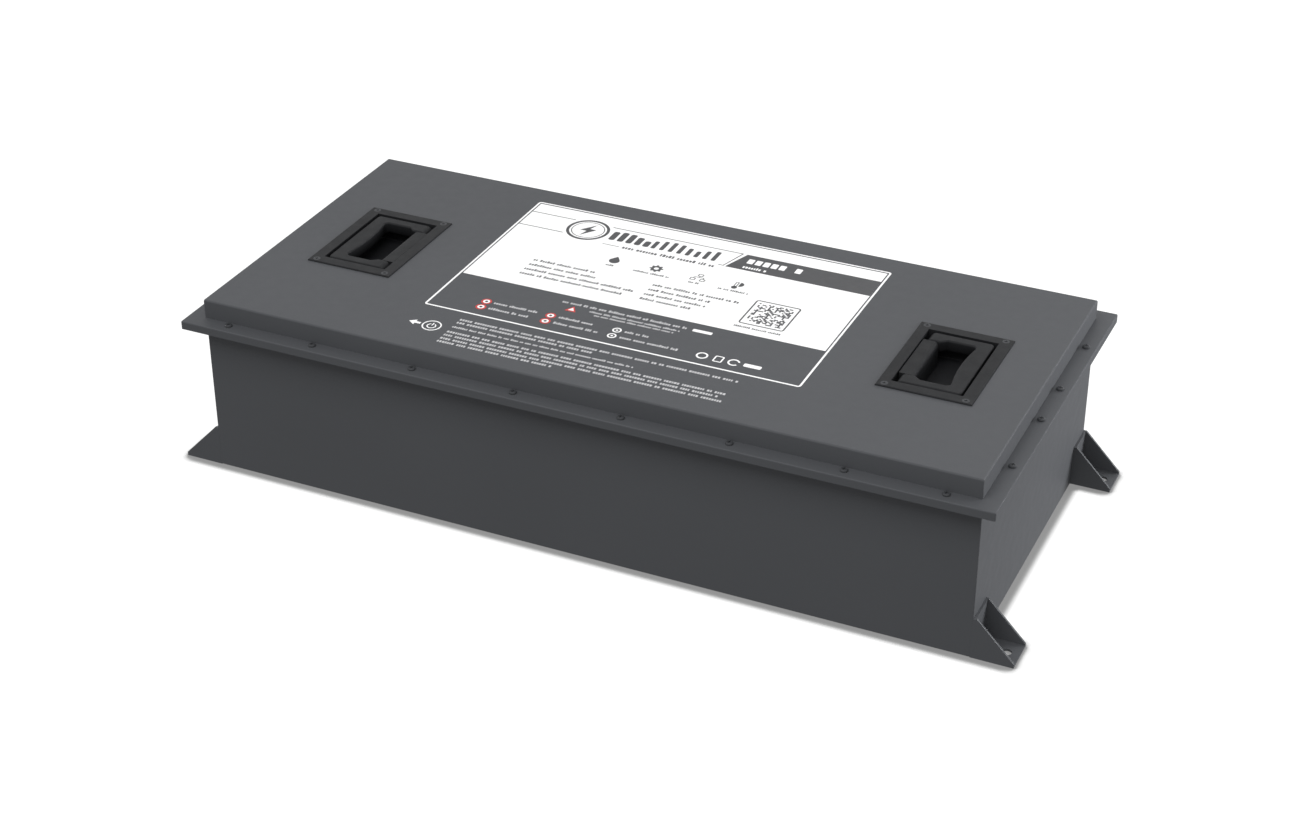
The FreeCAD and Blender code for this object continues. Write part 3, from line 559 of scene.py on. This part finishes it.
def gear_icon(dark, cx, cy):
    """A small gear wheel."""
    outer, inner = [], []
    steps = 48
    for k in range(steps):
        tooth = 6.8 if (k // 3) % 2 == 0 else 5.2
        t = 2 * math.pi * k / steps
        outer.append((cx + tooth * math.cos(t), cy + tooth * math.sin(t)))
        inner.append((cx + 2.4 * math.cos(t), cy + 2.4 * math.sin(t)))
    dark.band(outer, inner)


def link_icon(dark, cx, cy):
    """Three linked boxes."""
    for x, y in ((0.0, 4.6), (-4.9, -4.4), (4.9, -4.4)):
        dark.frame(cx + x - 2.7, cx + x + 2.7, cy + y - 2.4, cy + y + 2.4, 0.8, 0.9)
    dark.line((cx, cy + 2.1), (cx, cy + 0.4), THIN_RULE)
    dark.line((cx - 4.9, cy + 0.2), (cx + 4.9, cy + 0.2), THIN_RULE)
    for x in (-4.9, 4.9):
        dark.line((cx + x, cy), (cx + x, cy - 1.9), THIN_RULE)


def thermometer_icon(dark, cx, cy):
    """A thermometer with a sun behind it."""
    dark.frame(cx - 4.0, cx - 0.6, cy - 2.6, cy + 6.8, 1.6, 0.9)
    dark.fill(circle(cx - 2.3, cy - 4.4, 2.9, 24))
    dark.fill(arc(cx + 0.6, cy + 2.4, 4.3, -90, 90, 16))


def icon_row(dark, text):
    places = (-64.0, -21.0, 23.0, 62.5)
    widths = (8.0, 37.0, 12.0, 31.0)
    makers = (drop_icon, gear_icon, link_icon, thermometer_icon)
    for k, (cx, width, maker) in enumerate(zip(places, widths, makers)):
        maker(dark, cx, 59.2)
        text.words(cx - width / 2, cx + width / 2, 47.2, 2.4, 40 + k)


def data_lines(text):
    """Two columns of four lines."""
    heights = (27.8, 18.0, 8.3, -1.2)
    left_ends = (-65.5, -62.5, -21.0, -27.5)
    right_ends = (78.0, 52.0, 52.0, 41.3)
    for k, (y, left, right) in enumerate(zip(heights, left_ends, right_ends)):
        text.words(-134.5, left, y, 3.1, 10 + k)
        text.words(-10.5, right, y, 3.1, 20 + k)


def pattern_tile(dark, text):
    """A framed square of scattered blocks, with a caption."""
    x0, x1, y0, y1 = 89.5, 133.8, -6.7, 40.8
    margin = 4.6
    dark.frame(x0, x1, y0, y1, 3.0, 1.5)
    draw = random.Random(5)
    count = 19
    left, low = x0 + margin, y0 + margin
    step_x = (x1 - x0 - 2 * margin) / count
    step_y = (y1 - y0 - 2 * margin) / count
    for row in range(count):
        for column in range(count):
            if draw.random() < 0.53:
                x, y = left + column * step_x, low + row * step_y
                dark.box(x, x + step_x * 0.94, y, y + step_y * 0.94)
    text.words(88.5, 134.5, -13.0, 2.2, 61)


def notice_text(text, white, red):
    """The lower field: a heading, a red triangle and two short lines."""
    text.words(-72.0, 55.0, -36.7, 2.9, 70)
    white.bar(58.5, 77.5, -36.7, 4.6, 1.2)
    cx, cy = -57.8, -46.4
    red.fill([(cx - 5.6, cy - 4.4), (cx + 5.6, cy - 4.4), (cx, cy + 5.4)])
    shrink, drop = 0.55, 0.3
    white.fill([(cx - 5.6 * shrink, cy - 4.4 * shrink - drop),
                (cx + 5.6 * shrink, cy - 4.4 * shrink - drop),
                (cx, cy + 5.4 * shrink - drop)])
    text.words(-41.0, 49.0, -44.2, 2.2, 71)
    text.words(-34.0, 45.0, -49.2, 2.2, 72)


def sign_rows(text, white, red, dot):
    """Two rows of three signs, each with a few words."""
    rows = ((-65.5, ((-128.0, -83.0), (-61.7, -25.8), (4.5, 28.7))),
            (-76.7, ((-128.0, -85.5), (-61.7, -15.5), (4.5, 62.5))))
    for r, (y, spans) in enumerate(rows):
        for k, ((x0, x1), cx) in enumerate(zip(spans, (-135.8, -70.0, -3.3))):
            text.words(x0, x1, y, 2.9, 80 + 3 * r + k)
            if k < 2:
                red.ring(cx, y, 5.0, 1.5, 28)
                white.fill(circle(cx, y, 3.3, 24))
                dot.fill(circle(cx, y, 1.5, 16))
            else:
                white.ring(cx, y, 4.4, 1.5, 28)
                white.fill(circle(cx, y, 1.2, 16))


def small_signs(white):
    """Four plain outlined signs at the lower right."""
    y = -76.4
    white.ring(84.8, y, 5.6, 1.7, 28)
    white.frame(96.2, 105.0, y - 5.4, y + 5.4, 1.6, 1.3)
    white.open_ring(115.2, y, 5.7, 1.7, 20, 320)
    white.bar(124.7, 141.3, y, 5.6, 1.4)


def text_block(text):
    """Lines of plain text under the frame."""
    left = -141.3
    lines = ((-106.5, 134.3, 3.1), (-112.5, -6.0, 3.1), (-121.3, 40.0, 2.3),
             (-130.8, 133.0, 3.1), (-137.0, 126.0, 3.1), (-143.5, 133.0, 3.1),
             (-149.5, -27.0, 3.1))
    for k, (y, right, height) in enumerate(lines):
        text.words(left, right, y, height, 90 + k, capitals=height > 3)


def power_sign(ink, cx, cy, size):
    """The usual on/off sign: a broken ring and an upright stroke."""
    ink.open_ring(cx, cy, size * 0.5, size * 0.12, 120, 420)
    ink.line((cx, cy + size * 0.1), (cx, cy + size * 0.62), size * 0.12)


def switch_pointer(white):
    """The on/off sign in a ring, and an arrow to the end where the button is."""
    cx, cy = -159.3, -127.0
    white.ring(cx, cy, 9.2, 1.3, 40)
    power_sign(white, cx, cy - 0.6, 9.0)
    tip = -182.5
    white.fill([(tip, cy), (tip + 6.5, cy - 4.6), (tip + 6.5, cy - 1.5), (-170.8, cy - 1.5),
                (-170.8, cy + 1.5), (tip + 6.5, cy + 1.5), (tip + 6.5, cy + 4.6)])


def print_lid():
    place = Matrix.Translation((0, 0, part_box("cover")[1][2]))
    white_ink = printed_ink("ink_white", INK_WHITE)
    dark_ink = printed_ink("ink_dark", INK_DARK)
    grey_ink = printed_ink("ink_grey", TEXT_DARK)
    pale_ink = printed_ink("ink_pale", TEXT_WHITE)
    red_ink = printed_ink("ink_red", INK_RED)
    panel = Ink("print_panel", white_ink, 0, place)
    marks = Ink("print_marks", dark_ink, 1, place)
    small = Ink("print_small_text", grey_ink, 1, place)
    band_title = Ink("print_title", white_ink, 2, place)
    field = Ink("print_field_text", pale_ink, 0, place)
    red = Ink("print_red_signs", red_ink, 0, place)
    over = Ink("print_sign_fills", white_ink, 1, place)
    dots = Ink("print_sign_dots", dark_ink, 2, place)
    print_frame(panel)
    header_rules(marks)
    energy_mark(marks)
    level_bars(marks)
    small.words(-69.0, 27.5, 85.8, 3.8, 33)
    small.line((-90.0, 85.8), (-72.5, 85.8), 0.9)
    title(band_title)
    icon_row(marks, small)
    data_lines(small)
    pattern_tile(marks, small)
    notice_text(field, over, red)
    sign_rows(field, over, red, dots)
    small_signs(panel)
    text_block(field)
    switch_pointer(panel)
    for ink in (panel, marks, small, band_title, field, red, over, dots):
        ink.make()


# ---------------------------------------------------------------- details of the left end

def facing_left(x, y, z):
    """The frame of a mark on a surface that faces -X: its own X runs to -Y, its Y up."""
    turned = Matrix(((0, 0, -1), (-1, 0, 0), (0, 1, 0))).to_4x4()
    return Matrix.Translation((x, y, z)) @ turned


def polarity_signs():
    """A plus and a minus on the end wall, each above its terminal."""
    white = printed_ink("ink_wall", INK_WHITE)
    wall_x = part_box("case_tub")[0][0] + RIM_REACH * MM
    for node, name in (("terminal_negative", "minus"), ("terminal_positive", "plus")):
        _, y, z = middle(node)
        sign = Ink("print_" + name, white, 0, facing_left(wall_x, y, z + SIGN_RISE * MM))
        sign.line((-4.5, 0), (4.5, 0), 2.2)
        if name == "plus":
            sign.fill(stroke((0, 1.1), (0, 4.5), 2.2))
            sign.fill(stroke((0, -4.5), (0, -1.1), 2.2))
        sign.make()


def button_sign():
    """The on/off sign on the button's cap."""
    (x, _, _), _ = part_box("power_button_cap")
    _, y, z = middle("power_button_cap")
    ink = Ink("button_sign", printed_ink("ink_button", INK_DARK), 0, facing_left(x, y, z),
              "power_button", "button_cap")
    power_sign(ink, 0, -0.2, 5.6)
    ink.make()


def turned_piece(name, profile, place, material, steps):
    """A round solid from a closed profile of (along, radius) points, in mm, from axis to axis."""
    verts, faces, rings = [], [], []
    for along, radius in profile:
        if radius == 0:
            rings.append([len(verts)])
            verts.append((0, 0, along))
            continue
        rings.append(list(range(len(verts), len(verts) + steps)))
        verts += [(radius * math.cos(2 * math.pi * k / steps),
                   radius * math.sin(2 * math.pi * k / steps), along) for k in range(steps)]
    for a, b in zip(rings, rings[1:]):
        for k in range(steps):
            n = (k + 1) % steps
            face = [a[k % len(a)], a[n % len(a)], b[n % len(b)], b[k % len(b)]]
            faces.append(list(dict.fromkeys(face)))
    mesh = bpy.data.meshes.new(name)
    mesh.from_pydata([Vector(v) * MM for v in verts], [], faces)
    mesh.transform(place)
    mesh.materials.append(material)
    piece = bpy.data.objects.new(name, mesh)
    bpy.context.collection.objects.link(piece)
    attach(piece, ROOT)


def data_contacts():
    """The socket's insert, with a raised key ring, and five rounded pins standing in it."""
    low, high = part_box("data_socket")
    _, y, z = middle("data_socket")
    floor_x = low[0] + SOCKET_DEPTH * MM
    plastic = moulded_plastic("socket_insert", (0.012, 0.012, 0.013), 0.5)
    gold = metal("contact_gold", (0.85, 0.62, 0.25), 0.22, scale=900.0)
    insert = [(0.0, 0.0), (0.0, 6.3), (4.6, 6.3), (5.0, 5.9), (5.0, 5.3), (4.6, 4.9), (2.4, 4.9),
              (2.0, 4.5), (2.0, 0.0)]
    turned_piece("socket_insert", insert, facing_left(floor_x, y, z), plastic, 48)
    pin = [(1.0, 0.0), (1.0, 0.55), (5.6, 0.55), (6.0, 0.4), (6.2, 0.0)]
    count, reach = 5, 2.7 * MM
    for k in range(count):
        turn = math.radians(90 + 360 / count * k)
        place = facing_left(floor_x, y - reach * math.cos(turn), z + reach * math.sin(turn))
        turned_piece("socket_pin_%d" % (k + 1), pin, place, gold, 16)


# ---------------------------------------------------------------- floor, light, camera

def stage_floor():
    """A pale floor, a hair under the feet, that glows white, with a contact shadow painted into its
    glow where ambient occlusion finds the object close.
    """
    half, z = FLOOR_HALF, -FLOOR_DROP
    mesh = bpy.data.meshes.new("floor")
    mesh.from_pydata([(-half, -half, z), (half, -half, z), (half, half, z), (-half, half, z)],
                     [], [(0, 1, 2, 3)])
    floor = bpy.data.objects.new("floor", mesh)
    bpy.context.collection.objects.link(floor)
    mat, shader = new_material("floor", (FLOOR_PALE, FLOOR_PALE, FLOOR_PALE), 0.9)
    shader.inputs["Specular IOR Level"].default_value = 0.0
    shader.inputs["Emission Color"].default_value = (1.0, 1.0, 1.0, 1.0)
    # Painted contact shadow: the glow is dimmed by ambient occlusion near the object
    painted_shadow_ao = mat.node_tree.nodes.new("ShaderNodeAmbientOcclusion")
    painted_shadow_ao.inputs["Distance"].default_value = PAINTED_SHADOW_REACH
    glow = spread(mat, painted_shadow_ao.outputs["AO"], PAINTED_SHADOW_GLOW, FLOOR_GLOW, *PAINTED_SHADOW_AO_RANGE)
    mat.node_tree.links.new(glow, shader.inputs["Emission Strength"])
    mesh.materials.append(mat)
    floor.visible_diffuse = False
    floor.visible_glossy = False


def studio_sky():
    """Even light from above the horizon, and a dim glow below it."""
    world = bpy.data.worlds.new("studio")
    bpy.context.scene.world = world
    world.use_nodes = True
    nodes, links = world.node_tree.nodes, world.node_tree.links
    coords = nodes.new("ShaderNodeTexCoord")
    split = nodes.new("ShaderNodeSeparateXYZ")
    height = nodes.new("ShaderNodeMapRange")
    height.inputs["From Min"].default_value = -HORIZON_BLUR
    height.inputs["From Max"].default_value = HORIZON_BLUR
    height.inputs["To Min"].default_value = BELOW_HORIZON
    height.inputs["To Max"].default_value = SKY
    seen = nodes.new("ShaderNodeLightPath")
    pick = nodes.new("ShaderNodeMix")
    pick.inputs["B"].default_value = 1.0
    links.new(coords.outputs["Generated"], split.inputs["Vector"])
    links.new(split.outputs["Z"], height.inputs["Value"])
    links.new(height.outputs["Result"], pick.inputs["A"])
    links.new(seen.outputs["Is Camera Ray"], pick.inputs["Factor"])
    links.new(pick.outputs["Result"], nodes["Background"].inputs["Strength"])
    nodes["Background"].inputs["Color"].default_value = (1.0, 1.0, 1.0, 1.0)


def side_light(name, place, target, size, watts):
    """A wide soft panel of light on one side of the object."""
    light = bpy.data.lights.new(name, "AREA")
    light.shape = "RECTANGLE"
    light.size, light.size_y = size
    light.energy = watts
    lamp = bpy.data.objects.new(name, light)
    bpy.context.collection.objects.link(lamp)
    lamp.location = place
    lamp.rotation_euler = (Vector(target) - Vector(place)).to_track_quat("-Z", "Y").to_euler()
    lamp.visible_camera = False
    lamp.visible_glossy = False


def studio_light():
    studio_sky()
    for name, place, target, size, watts in LIGHTS:
        side_light(name, place, target, size, watts)


def camera_at_view():
    """The camera, from its bearing, dip and place in the part's frame."""
    bearing = math.radians(BEARING)
    dip = math.radians(DIP)
    data = bpy.data.cameras.new("camera")
    data.sensor_width = FILM_WIDTH
    data.lens = LENS
    data.clip_end = FARTHEST
    camera = bpy.data.objects.new("camera", data)
    bpy.context.collection.objects.link(camera)
    camera.location = CAMERA_PLACE
    camera.rotation_euler = Euler((math.pi / 2 - dip, 0.0, bearing))
    bpy.context.scene.camera = camera


dress_cad_nodes()
print_lid()
polarity_signs()
button_sign()
data_contacts()
stage_floor()
studio_light()
camera_at_view()
bpy.context.scene.view_settings.view_transform = "Standard"
